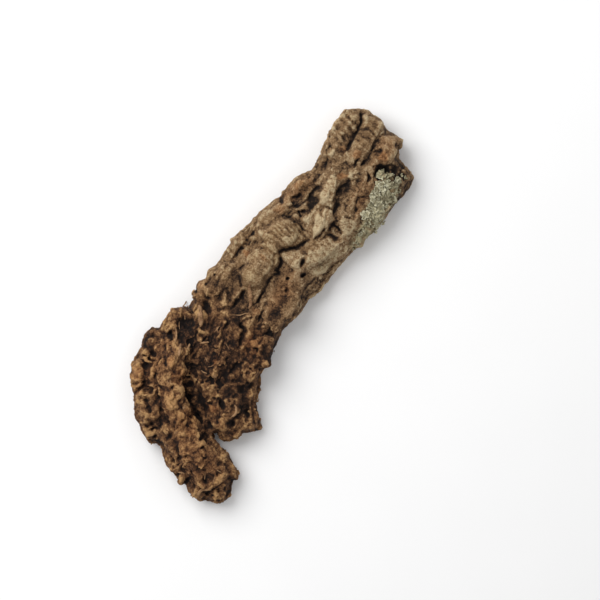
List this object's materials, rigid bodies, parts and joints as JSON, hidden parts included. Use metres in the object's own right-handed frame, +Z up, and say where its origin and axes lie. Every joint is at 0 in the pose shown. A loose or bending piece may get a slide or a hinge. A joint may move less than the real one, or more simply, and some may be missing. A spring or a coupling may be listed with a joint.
{
  "type": "piece of cork bark",
  "caption": "Curved, forked plate of thick cork bark with a ridged back, a hollow underside, a short prong, a longer curling prong and a crust of leafy lichen on one flank.",
  "frame": {"origin": "on the plane the piece rests on, under the middle of its outline", "axes": "+X along the plate, towards the wide end with the lichen; +Y towards the flank away from the lichen; +Z up, out of the ridged back"},
  "size_m": [0.2962, 0.1092, 0.0395],
  "materials": {
    "bark": "rough, dry, unfinished cork bark",
    "lichen": "matt, dry, leathery lichen"
  },
  "bodies": {
    "root": {"bark": "bark", "lichen_patch": "lichen", "lichen_fringe": "lichen"}
  },
  "joints": []
}
